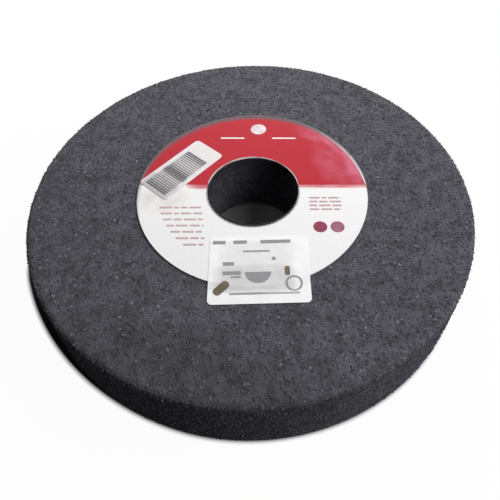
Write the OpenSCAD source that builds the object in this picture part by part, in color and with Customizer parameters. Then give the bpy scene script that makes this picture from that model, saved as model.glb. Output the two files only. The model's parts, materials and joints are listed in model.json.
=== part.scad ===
/* [Wheel] */
// Outer diameter of the abrasive
wheel_d = 152.4; // [130:0.1:200]
// Thickness of the abrasive
wheel_w = 25.4; // [12:0.1:50]
// Diameter of the bore, through the abrasive and both blotters
bore_d = 31.75; // [12.7:0.05:33]
// Rounding where the faces meet the rim
rim_r = 1.5; // [0.4:0.1:4]

/* [Blotters] */
// Diameter of the paper washers
blotter_d = 80; // [76:0.5:100]
// Thickness of a paper washer
blotter_t = 0.5; // [0.3:0.1:1.2]

/* [Red half of the front blotter] */
// Thickness of a layer of ink
ink_t = 0.05; // [0.03:0.01:0.1]
// Bare paper that all print leaves along the bore and the outer edge
ink_margin = 0.3; // [0.1:0.1:1]
// Straight lower edge of the red, above the wheel's centre
red_y = 2; // [0:0.1:6]
// How much the red's round outline is wider than the paper, at the radius
red_over = 6; // [2:0.1:12]
// Bare paper where the red stops short of the paper's edge
red_short = 1.4; // [1:0.1:5]
// Direction in which the red stops short
red_short_angle = 36; // [0:1:80]
// Diameter of the round spot left bare in the red
spot_d = 6; // [3:0.1:8]
// Middle of the bare spot, to the right of the wheel's centre
spot_x = 1.5; // [-3:0.1:3]
// Middle of the bare spot, in from the paper's edge
spot_in = 8.5; // [6:0.1:11]
// Length of the bare bars below the spot
bare_bar_l = 9; // [4:0.1:10]
// Height of the bare bars
bare_bar_h = 0.8; // [0.4:0.1:1.2]
// Bare bars' distance from the spot's middle, sideways
bare_bar_out = 5.3; // [4.5:0.1:7]
// Bare bars' distance in from the paper's edge
bare_bar_in = 13.6; // [12.5:0.1:14]

/* [Small print on the front blotter] */
// Height of a row
row_h = 0.7; // [0.3:0.1:1.2]
// Space between words
word_gap = 0.7; // [0.4:0.1:1.2]
// Mean length of a word with its space
word_step = 3.4; // [2.5:0.1:5]
// Number of rows left of the bore
left_rows = 7; // [3:1:7]
// Depth of the first left row below the wheel's centre, as a share of the paper's radius
left_first = 0.215; // [0.2:0.005:0.23]
// Depth of the last left row, as a share of the paper's radius
left_last = 0.605; // [0.4:0.005:0.61]
// Left rows' start, in from the paper's edge
left_in = 7.4; // [4:0.1:9]
// Space between the last left row and the lower sticker
left_gap = 1.8; // [1:0.1:3]
// How much further left the first left row ends
left_slant = 2.4; // [0:0.1:2.4]
// Number of rows right of the bore
right_rows = 4; // [2:1:4]
// Depth of the first right row, as a share of the crimson dots' depth
right_first = 0.247; // [0.2:0.001:0.3]
// Depth of the last right row, as a share of the crimson dots' depth
right_last = 0.553; // [0.45:0.001:0.6]
// Start of the right rows, right of the wheel's centre
right_x = 19.4; // [19:0.1:21]
// Length of the right rows
right_l = 11; // [6:0.1:14]
// Diameter of the crimson dots
dot_d = 4.6; // [2:0.1:5.2]
// Step from one crimson dot to the other
dot_step = 5.7; // [5.4:0.1:6.5]
// Right dot's middle, in from the paper's edge along its row
dot_in = 7.1; // [5:0.1:9]
// Crimson dots' middle, above the lower sticker's upper edge
dot_up = 4; // [3.5:0.1:6]

/* [Code sticker] */
// Thickness of the stickers' paper
sticker_t = 0.12; // [0.08:0.01:0.3]
// Corner radius of the stickers
sticker_r = 1.5; // [0.5:0.1:3]
// Length of the code sticker
code_l = 28.8; // [20:0.1:29]
// Width of the code sticker
code_w = 13.4; // [8:0.1:14]
// Middle of the code sticker, in from the paper's edge
code_in = 12.4; // [12.2:0.1:13]
// Direction of the code sticker's middle, counted from the right
code_angle = 159; // [155:1:163]
// Turn of the code sticker's long side
code_turn = 49.7; // [46:0.1:54]
// Number of bars
bar_count = 22; // [12:1:24]
// Length of the row of bars, from the first one's middle to the last one's
bars_l = 19.9; // [16:0.1:21]
// Width of the thinnest bar
min_bar_w = 0.25; // [0.15:0.01:0.3]
// Width of the thickest bar
max_bar_w = 0.7; // [0.4:0.01:0.75]
// Length of the bars
bar_l = 9.6; // [5:0.1:10.5]
// Middle of the row of bars, off the sticker's middle
bar_off = 2.6; // [0:0.1:2.8]

/* [Lower sticker] */
// Width of the lower sticker
low_w = 31; // [29:0.1:33]
// Height of the lower sticker
low_h = 24.4; // [24:0.1:26]
// Middle of the lower sticker, right of the wheel's centre
low_x = 2.5; // [1:0.1:4]
// Middle of the lower sticker, in from the blotter's edge
low_in = 6.8; // [5:0.1:8]
// Turn of the lower sticker
low_turn = 1.5; // [0:0.1:4]
// Width of the slope that brings it down from the blotter to the wheel
drape_w = 2.5; // [1:0.1:4]
// Height of the thick lines
line_h = 1.3; // [0.6:0.1:1.8]
// Height of the thin lines
thin_h = 0.6; // [0.3:0.1:0.9]
// Diameter of the half-round mark
bowl_d = 8; // [5:0.1:8.5]
// Outer diameter of the ring mark
ring_d = 5.2; // [3:0.1:6]
// Width of the ring mark's line
ring_w = 0.6; // [0.4:0.1:1.2]
// Length of the slanted brown mark
smear_l = 5.6; // [3:0.1:6]
// Width of the slanted brown mark
smear_w = 2.6; // [1:0.1:3]
// Turn of the slanted brown mark
smear_turn = 42; // [30:1:60]
// Length of the upright brown mark
blot_l = 3.4; // [2:0.1:4]
// Width of the upright brown mark
blot_w = 1.6; // [0.8:0.1:2]

/* [Hidden] */
$fn = 96;

wheel_r = wheel_d / 2;
bore_r = bore_d / 2;
blotter_r = blotter_d / 2;
// Heights of the wheel's upper face, the paper on it, and the paper's ink
face_z = blotter_t + wheel_w;
paper_z = face_z + blotter_t;
ink_z = paper_z + ink_t;
// Depth of the crimson dots' row below the wheel's centre
dot_y = blotter_r - low_in - low_h / 2 - dot_up;
// Over-length of cutting tools
over = 1;

// Flat shapes

// A bar that starts at x and runs to the right, with its middle at y
module bar(x, y, l, h) {
    translate([x, y - h / 2]) square([l, h]);
}

// An oblong with round corners, about its middle
module oblong(l, w, r) {
    square([l, w - 2 * r], center = true);
    square([l - 2 * r, w], center = true);
    for (x = [-1, 1], y = [-1, 1])
        translate([x * (l / 2 - r), y * (w / 2 - r)]) circle(r);
}

// What print may cover on a blotter
module printable() {
    difference() {
        circle(blotter_r - ink_margin);
        circle(bore_r + ink_margin);
    }
}

// Bars with spaces at uneven steps, in place of words
module word_row(x, y, l, row) {
    words = floor(l / word_step);
    difference() {
        bar(x, y, l, row_h);
        for (i = [1 : 1 : words])
            bar(x + i * word_step + word_step / 4 * sin(97 * i + 61 * row), y, word_gap, row_h + over);
    }
}

// Paper and grain

module washer(d, t) {
    difference() {
        cylinder(d = d, h = t);
        translate([0, 0, -over]) cylinder(d = bore_d, h = t + 2 * over);
    }
}

// Half of the wheel's section, with its two outer corners rounded
module wheel_section() {
    translate([bore_r, 0]) square([wheel_r - rim_r - bore_r, wheel_w]);
    translate([bore_r, rim_r]) square([wheel_r - bore_r, wheel_w - 2 * rim_r]);
    for (y = [rim_r, wheel_w - rim_r])
        translate([wheel_r - rim_r, y]) circle(rim_r);
}

module abrasive_wheel() {
    color("#525157") translate([0, 0, blotter_t]) rotate_extrude() wheel_section();
}

module front_blotter() {
    color("#efecef") translate([0, 0, face_z]) washer(blotter_d, blotter_t);
}

module back_blotter() {
    color("#e4e1dc") washer(blotter_d, blotter_t);
}

// Print on the front blotter

// The red half. Its round outline is wider than the paper and off its middle,
// so the red runs off the paper on the left and stops short of it on the upper right.
module red_half() {
    difference() {
        intersection() {
            printable();
            rotate(red_short_angle) translate([-red_over - red_short, 0]) circle(blotter_r + red_over);
            bar(-blotter_r, red_y + blotter_r / 2, blotter_d, blotter_r);
        }
        translate([spot_x, blotter_r - spot_in]) circle(d = spot_d);
        for (side = [0, 1])
            translate([spot_x, 0]) mirror([side, 0])
                bar(bare_bar_out, blotter_r - bare_bar_in, bare_bar_l, bare_bar_h);
    }
}

module red_print() {
    color("#c8343f") translate([0, 0, paper_z]) linear_extrude(ink_t) red_half();
}

// Depth of row i of a block, of which the first and the last one's are given
function row_y(i, rows, first, last) = -first - (last - first) * i / (rows - 1);

// Rows from the paper's round edge to the lower sticker on the left, and a short block on the right
module blotter_lines() {
    color("#c3adb0") translate([0, 0, paper_z]) linear_extrude(ink_t) {
        last_end = low_x - low_w / 2 - left_gap;
        for (i = [0 : left_rows - 1]) {
            y = row_y(i, left_rows, left_first * blotter_r, left_last * blotter_r);
            start = -sqrt(pow(blotter_r - left_in, 2) - y * y);
            end = last_end - left_slant * (1 - i / (left_rows - 1));
            word_row(start, y, end - start, i);
        }
        for (i = [0 : right_rows - 1]) {
            y = row_y(i, right_rows, right_first * dot_y, right_last * dot_y);
            word_row(right_x, y, right_l, left_rows + i);
        }
    }
}

module crimson_dots() {
    last_x = sqrt(pow(blotter_r - dot_in, 2) - dot_y * dot_y);
    color("#a62a4b") translate([0, 0, paper_z]) linear_extrude(ink_t)
        for (i = [0, 1])
            translate([last_x - i * dot_step, -dot_y]) circle(d = dot_d);
}

// Code sticker

module code_place() {
    middle = blotter_r - code_in;
    translate([middle * cos(code_angle), middle * sin(code_angle), 0]) rotate(code_turn) children();
}

// It lies over the red's straight edge, on ink and on bare paper
module code_sticker() {
    color("#dddadb") difference() {
        translate([0, 0, paper_z]) code_place()
            linear_extrude(ink_t + sticker_t) oblong(code_l, code_w, sticker_r);
        red_print();
    }
}

// Bars that thicken at both ends and in the middle of the row
module code_bars() {
    color("#5d5b5c") translate([0, 0, ink_z + sticker_t]) code_place() linear_extrude(ink_t)
        for (i = [0 : bar_count - 1]) {
            share = i / (bar_count - 1);
            wide = min_bar_w + (max_bar_w - min_bar_w) * pow(cos(360 * share), 4);
            translate([(share - 0.5) * bars_l - bar_off, 0]) square([wide, bar_l], center = true);
        }
}

// Lower sticker

module low_place() {
    translate([low_x, low_in - blotter_r, 0]) rotate(low_turn) children();
}

// A sheet over blotter and wheel: flat on the paper, down a slope at its edge, flat on the wheel
module draped_sheet(lift, t) {
    low = face_z + lift;
    high = paper_z + lift;
    foot = blotter_r + drape_w;
    reach = wheel_r - rim_r;
    rotate_extrude() polygon([
        [bore_r, high], [blotter_r, high], [foot, low], [reach, low],
        [reach, low + t], [foot, low + t], [blotter_r, high + t], [bore_r, high + t]
    ]);
}

// Cuts a flat shape out of the sheet, in the lower sticker's place
module draped(lift, t) {
    intersection() {
        draped_sheet(lift, t);
        low_place() linear_extrude(paper_z + over) children();
    }
}

module lower_sticker() {
    color("#e2e0e2") draped(0, sticker_t) oblong(low_w, low_h, sticker_r);
}

// Places are shares of the sticker's width and height, from its middle
module at(u, v) {
    translate([u * low_w, v * low_h]) children();
}

module line(from, to, v, h) {
    bar(from * low_w, v * low_h, (to - from) * low_w, h);
}

module sticker_marks() {
    color("#9d9c9e") draped(sticker_t, ink_t) {
        // Broken thick line across the top, with a thin one below
        line(-0.47, -0.34, 0.41, line_h);
        line(-0.26, -0.12, 0.41, line_h);
        line(0.02, 0.33, 0.41, line_h);
        line(-0.16, 0.11, 0.26, thin_h);
        // A dash and a full point
        line(-0.36, -0.25, 0.07, line_h);
        at(0.15, 0.14) circle(d = line_h);
        // Two short lines beside the half-round mark
        line(-0.36, -0.18, -0.07, line_h);
        line(-0.28, -0.18, -0.13, thin_h);
        at(-0.01, -0.06) intersection() {
            circle(d = bowl_d);
            translate([-bowl_d, -bowl_d]) square([2 * bowl_d, bowl_d]);
        }
        // A ring, and a thin line along the foot
        at(0.34, -0.23) difference() {
            circle(d = ring_d);
            circle(d = ring_d - 2 * ring_w);
        }
        line(-0.29, 0.39, -0.36, thin_h);
    }
}

module sticker_smears() {
    color("#6b5a49") draped(sticker_t, ink_t) {
        at(-0.37, -0.28) rotate(smear_turn) oblong(smear_l, smear_w, smear_w * 0.45);
        at(0.28, -0.05) oblong(blot_w, blot_l, blot_w * 0.45);
    }
}

abrasive_wheel();
front_blotter();
back_blotter();
red_print();
blotter_lines();
crimson_dots();
code_sticker();
code_bars();
lower_sticker();
sticker_marks();
sticker_smears();
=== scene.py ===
import json
from math import cos, pi, radians, sin

import bmesh
import bpy
from mathutils import Matrix, Vector


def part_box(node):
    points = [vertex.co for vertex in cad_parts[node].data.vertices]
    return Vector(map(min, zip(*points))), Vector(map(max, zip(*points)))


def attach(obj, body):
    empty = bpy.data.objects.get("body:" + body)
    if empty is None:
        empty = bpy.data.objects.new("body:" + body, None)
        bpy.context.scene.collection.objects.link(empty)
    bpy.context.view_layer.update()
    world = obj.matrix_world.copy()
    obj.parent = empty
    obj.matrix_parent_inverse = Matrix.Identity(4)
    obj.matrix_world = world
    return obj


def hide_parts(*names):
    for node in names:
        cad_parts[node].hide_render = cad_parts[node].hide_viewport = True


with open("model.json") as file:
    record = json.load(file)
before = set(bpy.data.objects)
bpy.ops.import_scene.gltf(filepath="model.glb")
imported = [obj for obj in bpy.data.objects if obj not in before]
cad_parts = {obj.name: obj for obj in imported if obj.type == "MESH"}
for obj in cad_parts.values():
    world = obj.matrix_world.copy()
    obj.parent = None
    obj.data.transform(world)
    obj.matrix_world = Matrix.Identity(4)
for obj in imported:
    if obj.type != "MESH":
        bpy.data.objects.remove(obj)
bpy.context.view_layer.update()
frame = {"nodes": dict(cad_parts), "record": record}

scene = bpy.context.scene

# Abrasive wheel
# Silicon carbide grain in a glassy clay bond, pressed in a steel mould, fired, and dressed true
# on its faces and rim. What is left is a field of grain tops with open pores between them.

grain = 0.0009
pit_depth = 0.00022
rim_round = 0.0015
bore_round = 0.0003
bore_r = next(m["dims"]["r_mm"] for m in frame["record"]["mounts"] if m["name"] == "bore") / 1000
wheel_low, wheel_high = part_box("abrasive_wheel")
wheel_r = wheel_high.x
paper_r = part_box("front_blotter")[1].x


def rounded(r, z, size, first):
    """A quarter circle in the wheel's section, clockwise from the angle first."""
    steps = 5
    turn = [radians(first - 90 * i / steps) for i in range(steps + 1)]
    return [(r + size * cos(a), z + size * sin(a)) for a in turn]


section = (
    rounded(bore_r + bore_round, wheel_low.z + bore_round, bore_round, 270)
    + rounded(bore_r + bore_round, wheel_high.z - bore_round, bore_round, 180)
    + rounded(wheel_r - rim_round, wheel_high.z - rim_round, rim_round, 90)
    + rounded(wheel_r - rim_round, wheel_low.z + rim_round, rim_round, 0)
)
shape = bmesh.new()
around = 480
rings = [
    [shape.verts.new((r * cos(2 * pi * i / around), r * sin(2 * pi * i / around), z)) for i in range(around)]
    for r, z in section
]
for ring, following in zip(rings, rings[1:] + rings[:1]):
    for i in range(around):
        j = (i + 1) % around
        shape.faces.new((ring[i], ring[j], following[j], following[i]))
bmesh.ops.recalc_face_normals(shape, faces=shape.faces)
wheel = bpy.data.objects.new("bonded_wheel", bpy.data.meshes.new("bonded_wheel"))
shape.to_mesh(wheel.data)
shape.free()
scene.collection.objects.link(wheel)


def plain(piece):
    """Turns a piece's modifiers into a plain mesh."""
    graph = bpy.context.evaluated_depsgraph_get()
    mesh = bpy.data.meshes.new_from_object(piece.evaluated_get(graph), depsgraph=graph)
    piece.modifiers.clear()
    piece.data = mesh
    return piece


remesh = wheel.modifiers.new("even_faces", "REMESH")
remesh.mode = "VOXEL"
remesh.voxel_size = 0.00074
plain(wheel)


def colour(code):
    """An sRGB hex value as linear red, green, blue and alpha."""
    parts = [int(code[i:i + 2], 16) / 255 for i in (1, 3, 5)]
    return [p / 12.92 if p <= 0.04045 else ((p + 0.055) / 1.055) ** 2.4 for p in parts] + [1]


def add(tree, kind, inputs={}, **settings):
    """Adds a node. An input gets a value, a hex colour, a socket, or a node to follow."""
    node = tree.nodes.new(kind)
    for name, value in settings.items():
        setattr(node, name, value)
    for name, value in inputs.items():
        if isinstance(value, bpy.types.Node):
            value = next(socket for socket in value.outputs if socket.enabled)
        if isinstance(value, bpy.types.NodeSocket):
            tree.links.new(value, node.inputs[name])
        else:
            coded = isinstance(value, str) and value.startswith("#")
            node.inputs[name].default_value = colour(value) if coded else value
    return node


def start(name):
    """An empty material, its node tree, and the place on the piece, in metres."""
    material = bpy.data.materials.new(name)
    material.use_nodes = True
    material.node_tree.nodes.clear()
    return material, material.node_tree, add(material.node_tree, "ShaderNodeTexCoord").outputs["Object"]


def patch(tree, place, x, y, length, width, turn=0.0, corners=2.0, broken=0.0):
    """1 inside a patch of a face and 0 outside. More corners make it squarer, broken ragged."""
    local = add(tree, "ShaderNodeMapping", {
        "Vector": place, "Location": (x, y, 0), "Rotation": (0, 0, radians(turn)),
        "Scale": (length / 2, width / 2, 1),
    }, vector_type="TEXTURE")
    parts = add(tree, "ShaderNodeSeparateXYZ", {0: local})
    away = 0.0
    for part in ("X", "Y"):
        part = add(tree, "ShaderNodeMath", {0: parts.outputs[part]}, operation="ABSOLUTE")
        part = add(tree, "ShaderNodeMath", {0: part, 1: corners}, operation="POWER")
        away = add(tree, "ShaderNodeMath", {0: part, 1: away})
    cloud = add(tree, "ShaderNodeTexNoise", {"Vector": place, "Scale": 180.0, "Detail": 4.0})
    ragged = add(tree, "ShaderNodeMapRange", {0: cloud, 1: 0.35, 2: 0.65, 3: 1.0 - broken, 4: 1.0})
    inside = add(tree, "ShaderNodeMapRange", {0: away, 1: 0.2, 2: 1.3, 3: 1.0, 4: 0.0})
    return add(tree, "ShaderNodeMath", {0: inside, 1: ragged}, operation="MULTIPLY")


def from_axis(tree, place, x=0.0, y=0.0):
    """The distance from the wheel's axis, or from a line beside it."""
    flat = add(tree, "ShaderNodeVectorMath", {0: place, 1: (1, 1, 0)}, operation="MULTIPLY")
    return add(tree, "ShaderNodeVectorMath", {0: flat, 1: (x, y, 0)}, operation="DISTANCE").outputs["Value"]


def bore_shade(tree, place):
    """How dark the bore's wall is painted as shade: most at its upper mouth."""
    wall = {0: from_axis(tree, place), 1: bore_r + 0.0003, 2: bore_r + 0.0008, 3: 1.0, 4: 0.0}
    wall = add(tree, "ShaderNodeMapRange", wall)
    height = add(tree, "ShaderNodeSeparateXYZ", {0: place}).outputs["Z"]
    mouth = {0: height, 1: wheel_high.z - 0.018, 2: wheel_high.z - 0.002, 3: 0.15, 4: 0.8}
    mouth = add(tree, "ShaderNodeMapRange", mouth)
    return add(tree, "ShaderNodeMath", {0: wall, 1: mouth}, operation="MULTIPLY")


# Vitrified bond with silicon carbide grain: each grain has its own grey, one in about fifteen a
# lighter grey as a painted glint, the pores between them are nearly black, and the mix is uneven
# over a few millimetres. The grain is drawn about twice as coarse as a 36 grit so that it shows.
# Painted shade darkens the bore's mouth and a stretch of the face at the front, where the light is weaker.
bond, tree, place = start("vitrified_bond")
cells = add(tree, "ShaderNodeTexVoronoi", {"Vector": place, "Scale": 1 / grain})
edges = add(tree, "ShaderNodeTexVoronoi", {"Vector": place, "Scale": 1 / grain}, feature="DISTANCE_TO_EDGE")
patches = add(tree, "ShaderNodeTexNoise", {"Vector": place, "Scale": 250.0, "Detail": 3.0, "Roughness": 0.6})
own_grey = add(tree, "ShaderNodeSeparateColor", {0: cells.outputs["Color"]})
grains = add(tree, "ShaderNodeMix", {0: own_grey, 6: "#403f44", 7: "#525157"}, data_type="RGBA")
# One grain in about fifteen gets a lighter grey, a painted glint.
bright = add(tree, "ShaderNodeMapRange", {0: own_grey.outputs[1], 1: 0.92, 2: 0.98})
grains = add(tree, "ShaderNodeMix", {0: bright, 6: grains, 7: "#74737c"}, data_type="RGBA")
uneven = add(tree, "ShaderNodeMapRange", {0: patches, 1: 0.35, 2: 0.65})
grains = add(tree, "ShaderNodeMix", {0: uneven, 6: grains, 7: "#5f5e65"}, data_type="RGBA")
pores = add(tree, "ShaderNodeMapRange", {0: edges, 1: 0.02, 2: 0.14, 3: 0.5, 4: 0.0})
grains = add(tree, "ShaderNodeMix", {0: pores, 6: grains, 7: "#2d2c30"}, data_type="RGBA")
# Painted shade on a stretch of the face at the front, where the light is weaker.
front_shade = patch(tree, place, -0.018, -0.068, 0.1, 0.034, -15, broken=0.5)
front_shade = add(tree, "ShaderNodeMath", {0: front_shade, 1: 0.4}, operation="MULTIPLY")
grains = add(tree, "ShaderNodeMix", {0: front_shade, 6: grains, 7: "#2d2c30"}, data_type="RGBA")
# Painted shade darkens the bore's wall, most at its upper mouth.
grains = add(tree, "ShaderNodeMix", {0: bore_shade(tree, place), 6: grains, 7: "#222125"}, data_type="RGBA")
gloss = add(tree, "ShaderNodeMapRange", {0: own_grey.outputs[2], 3: 0.55, 4: 0.95})
relief = add(tree, "ShaderNodeBump", {"Height": edges, "Distance": 0.0003, "Strength": 0.45})
shader = add(tree, "ShaderNodeBsdfPrincipled", {
    "Base Color": grains, "Roughness": gloss, "IOR": 1.5, "Specular IOR Level": 0.02, "Normal": relief,
})
add(tree, "ShaderNodeOutputMaterial", {0: shader})

# The pits between the grain tops: a node tree sinks the even faces along their normals
sink = bpy.data.node_groups.new("sink_pits", "GeometryNodeTree")
sink.interface.new_socket("Geometry", in_out="INPUT", socket_type="NodeSocketGeometry")
for name in ("Grain", "Depth"):
    sink.interface.new_socket(name, in_out="INPUT", socket_type="NodeSocketFloat")
sink.interface.new_socket("Geometry", in_out="OUTPUT", socket_type="NodeSocketGeometry")
given = add(sink, "NodeGroupInput")
where = add(sink, "GeometryNodeInputPosition")
facing = add(sink, "GeometryNodeInputNormal")
pitch = add(sink, "ShaderNodeMath", {0: 1.0, 1: given.outputs["Grain"]}, operation="DIVIDE")
pits = add(sink, "ShaderNodeTexNoise", {"Vector": where, "Scale": pitch, "Detail": 2.0})
depth = add(sink, "ShaderNodeMapRange", {0: pits, 1: 0.25, 2: 0.75, 3: -0.05, 4: -1.0})
depth = add(sink, "ShaderNodeMath", {0: depth, 1: given.outputs["Depth"]}, operation="MULTIPLY")
inward = add(sink, "ShaderNodeVectorMath", {0: facing, "Scale": depth}, operation="SCALE")
sunk = add(sink, "GeometryNodeSetPosition", {"Geometry": given, "Offset": inward})
finished = add(sink, "GeometryNodeSetMaterial", {"Geometry": sunk, "Material": bond})
add(sink, "NodeGroupOutput", {"Geometry": finished})


def grow(piece, tree, **sizes):
    """Runs a node tree on a piece, with the named sizes, and keeps the plain mesh."""
    modifier = piece.modifiers.new(tree.name, "NODES")
    modifier.node_group = tree
    for socket in tree.interface.items_tree:
        if socket.in_out == "INPUT" and socket.name in sizes:
            modifier[socket.identifier] = sizes[socket.name]
    return plain(piece)


blank = wheel.data.copy()
grow(wheel, sink, Grain=grain * 1.6, Depth=pit_depth)
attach(wheel, "root")
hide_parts("abrasive_wheel")

# Grain crystals
# Single sharp grains that stand in the bond on every bare face, rim and bore. Paper and
# stickers lie on bare grain tops that are flush, so none grows under them.

sticker_low, sticker_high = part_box("lower_sticker")
clear = 0.0008
crystals = bpy.data.objects.new("surface_grains", blank)
scene.collection.objects.link(crystals)
bare = blank.attributes.new("bare", "FLOAT", "POINT")
for vertex in blank.vertices:
    x, y, z = vertex.co
    level = abs(vertex.normal.z) > 0.7
    papered = level and x * x + y * y < (paper_r + clear) ** 2
    beside = sticker_low.x - clear < x < sticker_high.x + clear
    beside = beside and sticker_low.y - clear < y < sticker_high.y + clear
    stuck = level and beside and z > wheel_low.z + 0.01
    bare.data[vertex.index].value = 0.0 if papered or stuck else 1.0

shape = bmesh.new()
corners = ((1, 0.1, 0), (-0.9, 0, 0.2), (0, 0.8, 0.1), (0.1, -0.7, -0.1), (0.1, 0, 0.8), (0, 0.2, -0.9))
tips = [shape.verts.new(corner) for corner in corners]
for a, b in ((0, 2), (2, 1), (1, 3), (3, 0)):
    shape.faces.new((tips[a], tips[b], tips[4]))
    shape.faces.new((tips[b], tips[a], tips[5]))
crystal = bpy.data.objects.new("crystal", bpy.data.meshes.new("crystal"))
shape.to_mesh(crystal.data)
shape.free()

# Silicon carbide crystals: dark and hard, with broken faces, a few of them lighter as a painted glint
glint, tree, place = start("silicon_carbide_crystals")
cells = add(tree, "ShaderNodeTexVoronoi", {"Vector": place, "Scale": 1 / grain})
own_grey = add(tree, "ShaderNodeSeparateColor", {0: cells.outputs["Color"]})
faces = add(tree, "ShaderNodeMix", {0: own_grey, 6: "#424147", 7: "#5a5960"}, data_type="RGBA")
# A lighter grey on one crystal in about fifteen, a painted glint.
bright = add(tree, "ShaderNodeMapRange", {0: own_grey.outputs[1], 1: 0.92, 2: 0.98})
faces = add(tree, "ShaderNodeMix", {0: bright, 6: faces, 7: "#706f77"}, data_type="RGBA")
# Painted shade at the bore's mouth, as on the bond.
faces = add(tree, "ShaderNodeMix", {0: bore_shade(tree, place), 6: faces, 7: "#222125"}, data_type="RGBA")
gloss = add(tree, "ShaderNodeMapRange", {0: own_grey.outputs[2], 3: 0.35, 4: 0.75})
shader = add(tree, "ShaderNodeBsdfPrincipled", {
    "Base Color": faces, "Roughness": gloss, "IOR": 1.5, "Specular IOR Level": 0.04,
})
add(tree, "ShaderNodeOutputMaterial", {0: shader})

strew = bpy.data.node_groups.new("strew_crystals", "GeometryNodeTree")
strew.interface.new_socket("Geometry", in_out="INPUT", socket_type="NodeSocketGeometry")
strew.interface.new_socket("Crystal", in_out="INPUT", socket_type="NodeSocketObject")
for name in ("Smallest", "Largest", "Density"):
    strew.interface.new_socket(name, in_out="INPUT", socket_type="NodeSocketFloat")
strew.interface.new_socket("Geometry", in_out="OUTPUT", socket_type="NodeSocketGeometry")
given = add(strew, "NodeGroupInput")
open_grain = add(strew, "GeometryNodeInputNamedAttribute", {"Name": "bare"}, data_type="FLOAT")
density = add(strew, "ShaderNodeMath", {0: open_grain, 1: given.outputs["Density"]}, operation="MULTIPLY")
points = add(strew, "GeometryNodeDistributePointsOnFaces", {
    "Mesh": given, "Density": density, "Seed": 7,
}, distribute_method="RANDOM")
model = add(strew, "GeometryNodeObjectInfo", {"Object": given.outputs["Crystal"]})
turned = {"Min": (0, 0, 0), "Max": (2 * pi, 2 * pi, 2 * pi), "Seed": 11}
turn = add(strew, "FunctionNodeRandomValue", turned, data_type="FLOAT_VECTOR")
sized = {2: given.outputs["Smallest"], 3: given.outputs["Largest"], "Seed": 13}
size = add(strew, "FunctionNodeRandomValue", sized, data_type="FLOAT")
placed = add(strew, "GeometryNodeInstanceOnPoints", {
    "Points": points, "Instance": model.outputs["Geometry"], "Rotation": turn, "Scale": size,
})
real = add(strew, "GeometryNodeRealizeInstances", {"Geometry": placed})
finished = add(strew, "GeometryNodeSetMaterial", {"Geometry": real, "Material": glint})
add(strew, "NodeGroupOutput", {"Geometry": finished})
grow(crystals, strew, Crystal=crystal, Smallest=grain * 0.2, Largest=grain * 0.42, Density=520000.0)
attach(crystals, "root")


def dress(node, material):
    """Gives a CAD node its material."""
    slots = frame["nodes"][node].data.materials
    slots.clear()
    slots.append(material)


# Blotters
# Washers of thick soft blotting paper, one glued on each face, that spread the flanges' grip.
# The wheel's grain presses through them, and handling has left the front one a little soiled.


def far_edge(tree, place, noise, most):
    """How much darker grey the far edge of the front paper is: a ragged crescent."""
    away = from_axis(tree, place, 0.0003, -0.0022)
    ragged = add(tree, "ShaderNodeMath", {0: noise, 1: 0.001}, operation="MULTIPLY")
    away = add(tree, "ShaderNodeMath", {0: away, 1: ragged})
    return add(tree, "ShaderNodeMapRange", {0: away, 1: paper_r - 0.0005, 2: paper_r + 0.0015, 3: 0.0, 4: most})


def paper(name, sheet, soil, soiled, worn_y, hole_darkening, far_edge_grey=0.0):
    """Blotting paper: matt and fibrous, soiled in places and darker round its hole."""
    material, tree, place = start(name)
    fibres = add(tree, "ShaderNodeTexNoise", {"Vector": place, "Scale": 2800.0, "Detail": 4.0, "Distortion": 1.5})
    pressed = add(tree, "ShaderNodeTexVoronoi", {"Vector": place, "Scale": 1 / grain}, feature="SMOOTH_F1")
    base = sheet
    for x, y, length, width, turn, broken, tone in soiled:
        patch_mask = patch(tree, place, x, y, length, width, turn, broken=broken)
        base = add(tree, "ShaderNodeMix", {0: patch_mask, 6: base, 7: tone}, data_type="RGBA")
    fuzz = add(tree, "ShaderNodeMapRange", {0: fibres, 1: 0.3, 2: 0.7, 3: 0.14, 4: 0.0})
    base = add(tree, "ShaderNodeMix", {0: fuzz, 6: base, 7: soil}, data_type="RGBA")
    # Darker round the hole, in a band that is wider towards the front on the front paper.
    hole = from_axis(tree, place, 0.0, worn_y)
    smudge = add(tree, "ShaderNodeMath", {0: fibres, 1: 0.0012}, operation="MULTIPLY")
    hole = add(tree, "ShaderNodeMath", {0: hole, 1: smudge})
    worn = add(tree, "ShaderNodeMapRange", {0: hole, 1: bore_r + 0.0004, 2: bore_r + 0.0013, 3: hole_darkening, 4: 0.0})
    base = add(tree, "ShaderNodeMix", {0: worn, 6: base, 7: "#262528"}, data_type="RGBA")
    greyed_far_edge = far_edge(tree, place, fibres, far_edge_grey)
    base = add(tree, "ShaderNodeMix", {0: greyed_far_edge, 6: base, 7: "#555359"}, data_type="RGBA")
    height = add(tree, "ShaderNodeMath", {0: fibres, 1: pressed})
    relief = add(tree, "ShaderNodeBump", {"Height": height, "Distance": 0.00006, "Strength": 0.5})
    shader = add(tree, "ShaderNodeBsdfPrincipled", {
        "Base Color": base, "Roughness": 0.92, "Specular IOR Level": 0.1, "Normal": relief,
    })
    add(tree, "ShaderNodeOutputMaterial", {0: shader})
    return material


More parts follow.
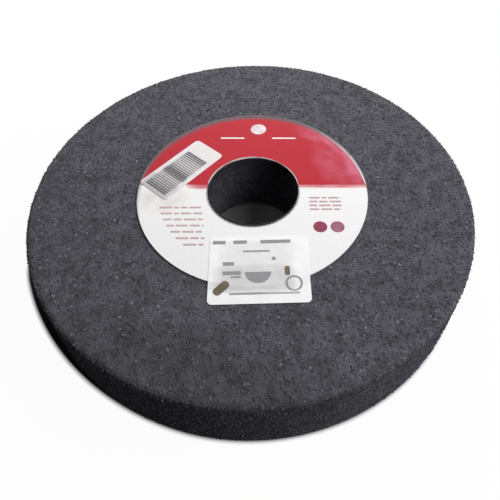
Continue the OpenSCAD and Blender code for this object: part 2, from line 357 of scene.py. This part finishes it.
# On the front: a darker patch on the left, the outer and inner margins that took some red, the greyed round
# bare spot, and the red that bled past its straight edge
front_soil = (
    (-0.0310, -0.0050, 0.018, 0.012, 0, 0.8, "#d6d0cd"),
    (0.0291, 0.0244, 0.042, 0.011, 130, 0.8, "#cda2a5"),
    (0.0000, 0.0120, 0.037, 0.017, 0, 0.8, "#a5666d"),
    (0.0015, 0.0315, 0.009, 0.009, 0, 0.8, "#cbb2b4"),
    (0.0270, 0.0016, 0.050, 0.0026, 0, 0.2, "#c8606b"),
    (-0.0180, 0.0014, 0.0110, 0.0034, 0, 0.2, "#bf4c58"),
)
back_soil = ((0.015, 0.02, 0.06, 0.06, 0, 0.8, "#c9c4bc"),)
dress("front_blotter", paper("white_blotting_paper", "#e9e8e8", "#ddd8d8", front_soil, -0.0010, 1.0, 0.9))
# The back paper's darker ring round its hole is painted shade, where its edge shows at the foot of the bore.
dress("back_blotter", paper("back_blotting_paper", "#e0ddd8", "#c9c4bc", back_soil, 0.0, 0.95))

# Print on the front blotter
# Offset inks on the paper: a solid red half, rows of grey-pink small print, and two crimson
# dots. The ink misses the hollows of the paper, and the red is rubbed towards its right end.


def ink(name, full, thin, rub=0.12, worn=(), far_edge_grey=0.0):
    """Printing ink: satin, thinner where the paper's tooth missed it or where it is rubbed."""
    material, tree, place = start(name)
    tooth = add(tree, "ShaderNodeTexNoise", {"Vector": place, "Scale": 1400.0, "Detail": 4.0})
    missed = add(tree, "ShaderNodeMapRange", {0: tooth, 1: 0.45, 2: 0.75, 3: 0.0, 4: rub})
    base = add(tree, "ShaderNodeMix", {0: missed, 6: full, 7: thin}, data_type="RGBA")
    for x, y, length, width, turn, most in worn:
        rubbed = patch(tree, place, x, y, length, width, turn, broken=0.7)
        rubbed = add(tree, "ShaderNodeMath", {0: rubbed, 1: most}, operation="MULTIPLY")
        base = add(tree, "ShaderNodeMix", {0: rubbed, 6: base, 7: thin}, data_type="RGBA")
    greyed_far_edge = far_edge(tree, place, tooth, far_edge_grey)
    base = add(tree, "ShaderNodeMix", {0: greyed_far_edge, 6: base, 7: "#555359"}, data_type="RGBA")
    relief = add(tree, "ShaderNodeBump", {"Height": tooth, "Distance": 0.00004, "Strength": 0.4})
    shader = add(tree, "ShaderNodeBsdfPrincipled", {
        "Base Color": base, "Roughness": 0.65, "Specular IOR Level": 0.15, "Normal": relief,
    })
    add(tree, "ShaderNodeOutputMaterial", {0: shader})
    return material


rubs = (
    (0.031, 0.014, 0.018, 0.030, 15, 0.45),
    (0.022, 0.029, 0.014, 0.008, -35, 0.55),
    (0.0300, 0.0225, 0.024, 0.0035, 127, 0.9),
    (0.0364, 0.0085, 0.022, 0.0050, 103, 0.95),
)
dress("red_print", ink("red_offset_ink", "#ac1f2c", "#c1687f", rub=0.1, worn=rubs, far_edge_grey=0.9))
left_rows = ((-0.022, -0.016, 0.05, 0.03, 0, 0.2),)
dress("blotter_lines", ink("grey_pink_offset_ink", "#b8989f", "#dccdd0", worn=left_rows))
faint_dot = ((0.0283, -0.0172, 0.0065, 0.0065, 0, 0.6),)
dress("crimson_dots", ink("crimson_offset_ink", "#883a50", "#a87f91", worn=faint_dot))

# Stickers
# Two self-adhesive labels of coated paper with round corners: one with bars, across the red's
# edge, and one that runs from the front blotter down onto the wheel. Smoother than the blotter.


def label(name, sheet, soil, toned):
    """Coated label paper: smooth, blotched by the glue below, and toned by patches of fine print."""
    material, tree, place = start(name)
    blotch = add(tree, "ShaderNodeTexNoise", {"Vector": place, "Scale": 260.0, "Detail": 3.0})
    cockle = add(tree, "ShaderNodeTexNoise", {"Vector": place, "Scale": 90.0, "Detail": 1.0})
    stained = add(tree, "ShaderNodeMapRange", {0: blotch, 1: 0.4, 2: 0.7, 3: 0.0, 4: 0.3})
    base = add(tree, "ShaderNodeMix", {0: stained, 6: sheet, 7: soil}, data_type="RGBA")
    for x, y, length, width, turn, tone in toned:
        field = patch(tree, place, x, y, length, width, turn, corners=6.0, broken=0.3)
        base = add(tree, "ShaderNodeMix", {0: field, 6: base, 7: tone}, data_type="RGBA")
    height = add(tree, "ShaderNodeMath", {0: blotch, 1: cockle})
    relief = add(tree, "ShaderNodeBump", {"Height": height, "Distance": 0.0003, "Strength": 0.35})
    shader = add(tree, "ShaderNodeBsdfPrincipled", {
        "Base Color": base, "Roughness": 0.5, "Specular IOR Level": 0.2, "Normal": relief,
    })
    add(tree, "ShaderNodeOutputMaterial", {0: shader})
    return material


code_tones = (
    (-0.0275, 0.0079, 0.0215, 0.0105, 49.7, "#bab8b9"),
    (-0.0282, 0.0070, 0.0030, 0.0110, 49.7, "#868485"),
    (-0.0333, 0.0010, 0.0095, 0.0130, 49.7, "#a6a4a5"),
)
low_tones = (
    (0.0018, -0.0276, 0.0240, 0.0100, 1.5, "#dad9da"),
    (0.0012, -0.0366, 0.0250, 0.0098, 1.5, "#c7c6c7"),
)
dress("code_sticker", label("coated_label_paper", "#dad3d4", "#c2bdbe", code_tones))
dress("code_bars", ink("thermal_print", "#5d5b5c", "#8d8b8c"))
dress("lower_sticker", label("coated_low_label_paper", "#eeedee", "#dddbdd", low_tones))
foot_line = ((0.0042, -0.0419, 0.044, 0.003, 1.5, 0.8),)
dress("sticker_marks", ink("grey_stamp_ink", "#8b8a8c", "#b7b6b8", worn=foot_line))
dress("sticker_smears", ink("brown_smear", "#6a6252", "#9a9180"))

# Floor and light
# A pale table, a soft studio light from the right and a little in front, and a closer one behind.

floor = bpy.data.objects.new("floor", bpy.data.meshes.new("floor"))
side = 3.0
floor.data.from_pydata([(-side, -side, 0), (side, -side, 0), (side, side, 0), (-side, side, 0)], [], [(0, 1, 2, 3)])
scene.collection.objects.link(floor)

# To the camera the table is white, apart from the wheel's shadow, which is painted into its
# colour: a crescent on the left, a thin line where it stands, and shade under the bore. In
# reflections the table is white from a hand's width away. The light that it sends back is that
# of a dark one, so that the rim stays dark.
ground, tree, place = start("pale_table")
rays = add(tree, "ShaderNodeLightPath")
middle = add(tree, "ShaderNodeVectorMath", {0: place}, operation="LENGTH").outputs["Value"]
hand_away = add(tree, "ShaderNodeMapRange", {0: middle, 1: wheel_r + 0.06, 2: wheel_r + 0.1})
mirrored = add(tree, "ShaderNodeMath", {0: rays.outputs["Is Glossy Ray"], 1: rays.outputs["Is Transmission Ray"]})
mirrored = add(tree, "ShaderNodeMath", {0: mirrored, 1: hand_away}, operation="MULTIPLY")
seen = add(tree, "ShaderNodeMath", {0: rays.outputs["Is Camera Ray"], 1: mirrored}, use_clamp=True)
in_bore = add(tree, "ShaderNodeMapRange", {0: middle, 1: 0.03, 2: 0.04, 3: 1.0, 4: 0.0})
pale = add(tree, "ShaderNodeMath", {0: seen, 1: in_bore}, operation="MAXIMUM")
white = add(tree, "ShaderNodeEmission", {"Color": (1, 1, 1, 1), "Strength": 1.0})
# The crescent lies between two wider circles, each of which touches the wheel's foot once
shadow_side, half_angle, wider = radians(-170), radians(60), 0.0198
arcs = []
for tip in (shadow_side + half_angle, shadow_side - half_angle):
    centre = (-wider * cos(tip), -wider * sin(tip), 0)
    arc = add(tree, "ShaderNodeVectorMath", {0: place, 1: centre}, operation="DISTANCE").outputs["Value"]
    arcs.append(add(tree, "ShaderNodeMath", {0: arc, 1: wider}, operation="SUBTRACT"))
crescent = add(tree, "ShaderNodeMath", {0: arcs[0], 1: arcs[1], 2: 0.003}, operation="SMOOTH_MAX")
aside = (cos(shadow_side), sin(shadow_side), 0)
aside = add(tree, "ShaderNodeVectorMath", {0: place, 1: aside}, operation="DOT_PRODUCT").outputs["Value"]
aside = add(tree, "ShaderNodeMath", {0: aside, 1: wheel_r * cos(half_angle)}, operation="GREATER_THAN")
near = add(tree, "ShaderNodeMix", {0: aside, 2: middle, 3: crescent})
# The painted contact shadow: dark floor colour near the foot and in the crescent.
contact = add(tree, "ShaderNodeMapRange", {0: near, 1: wheel_r - 0.0006, 2: wheel_r + 0.0006, 3: 1.0, 4: 0.0})
shade = add(tree, "ShaderNodeMix", {0: contact, 6: "#f4f4f4", 7: "#363637"}, data_type="RGBA")
# Seen through the bore, the table is painted in shade: grey, and darker to the left.
to_right = add(tree, "ShaderNodeSeparateXYZ", {0: place}).outputs["X"]
to_right = add(tree, "ShaderNodeMapRange", {0: to_right, 1: -0.008, 2: 0.006})
under = add(tree, "ShaderNodeMix", {0: to_right, 6: "#868687", 7: "#c8c8c9"}, data_type="RGBA")
shade = add(tree, "ShaderNodeMix", {0: in_bore, 6: shade, 7: under}, data_type="RGBA")
lit = add(tree, "ShaderNodeBsdfDiffuse", {"Color": shade})
dim = add(tree, "ShaderNodeBsdfDiffuse", {"Color": "#3a393b"})
fade = add(tree, "ShaderNodeMapRange", {0: near, 1: wheel_r - 0.0007, 2: wheel_r + 0.0008, 3: 0.0, 4: 0.96})
bright_floor = add(tree, "ShaderNodeMixShader", {0: fade, 1: lit, 2: white})
top = add(tree, "ShaderNodeMixShader", {0: pale, 1: dim, 2: bright_floor})
add(tree, "ShaderNodeOutputMaterial", {0: top})
floor.data.materials.append(ground)

world = bpy.data.worlds.new("studio")
scene.world = world
world.use_nodes = True
world.node_tree.nodes.clear()
tree = world.node_tree
rays = add(tree, "ShaderNodeLightPath")
seen = add(tree, "ShaderNodeMath", {0: rays.outputs["Is Camera Ray"], 1: rays.outputs["Is Glossy Ray"]})
seen = add(tree, "ShaderNodeMath", {0: seen, 1: rays.outputs["Is Transmission Ray"]}, use_clamp=True)
strength = add(tree, "ShaderNodeMapRange", {0: seen, 3: 0.08, 4: 1.0})
back = add(tree, "ShaderNodeBackground", {"Color": (1, 1, 1, 1), "Strength": strength})
add(tree, "ShaderNodeOutputWorld", {0: back})


def lamp(name, azimuth, height, away, size, power):
    """A square soft light that faces the wheel. Azimuth counts from the right, against the clock."""
    light = bpy.data.lights.new(name, "AREA")
    light.size, light.energy = size, power
    made = bpy.data.objects.new(name, light)
    a, h = radians(azimuth), radians(height)
    out = Vector((cos(a) * cos(h), sin(a) * cos(h), sin(h)))
    made.location = out * away
    made.rotation_mode = "QUATERNION"
    made.rotation_quaternion = out.to_track_quat("Z", "Y")
    scene.collection.objects.link(made)


lamp("key", -17, 36, 0.9, 0.6, 8.6)
lamp("back", 88, 40, 0.29, 0.25, 0.8)

# Camera
# At the photograph's viewing angle, close above the wheel, held with a slight roll.

view = bpy.data.cameras.new("view")
view.lens = 38.04
view.shift_x, view.shift_y = -0.0532, -0.1058
view.clip_start = 0.01
camera = bpy.data.objects.new("view", view)
turn = Matrix.Rotation(radians(-1.281), 4, "Z") @ Matrix.Rotation(radians(90 - 48.229), 4, "X")
turn = turn @ Matrix.Rotation(radians(0.935), 4, "Z")
camera.matrix_world = Matrix.Translation((0.00549, -0.12539, 0.16246)) @ turn
scene.collection.objects.link(camera)
scene.camera = camera
scene.view_settings.view_transform = "Standard"
